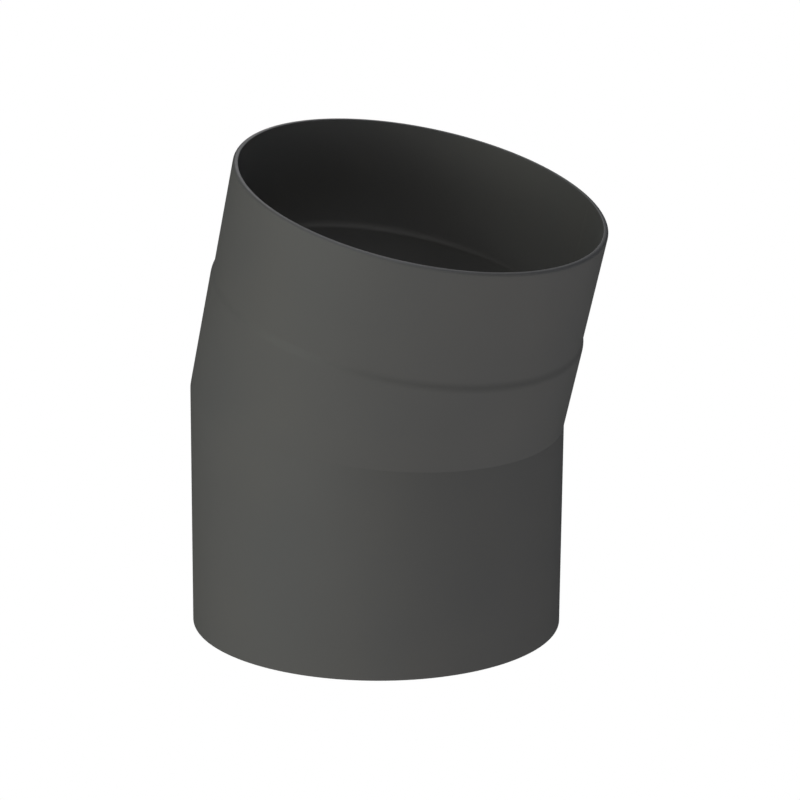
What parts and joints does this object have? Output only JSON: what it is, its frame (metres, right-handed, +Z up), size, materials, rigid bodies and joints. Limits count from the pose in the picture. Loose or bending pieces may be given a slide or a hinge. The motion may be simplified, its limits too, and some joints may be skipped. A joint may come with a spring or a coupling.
{
  "type": "flue elbow",
  "caption": "Shallow-angle flue elbow of welded steel plate: two round tubes joined at a mitre, one end drawn in to a short neck that enters the next pipe.",
  "frame": {"origin": "centre of the lower opening, in the plane of the lower end", "axes": "+Z up the lower tube's axis; +X the way the upper tube leans, so the bend lies in the XZ plane and the throat of the bend faces +X"},
  "size_m": [0.1701, 0.15, 0.1988],
  "materials": {
    "tube_paint": "matt heat-resistant stove paint, dark charcoal, over 2 mm mild steel plate",
    "weld_paint": "the same matt stove paint over welds ground flush"
  },
  "bodies": {
    "root": {"lower_tube": "tube_paint", "upper_tube": "tube_paint", "mitre_weld": "weld_paint", "lower_seam_weld": "weld_paint", "upper_seam_weld": "weld_paint"}
  },
  "joints": []
}
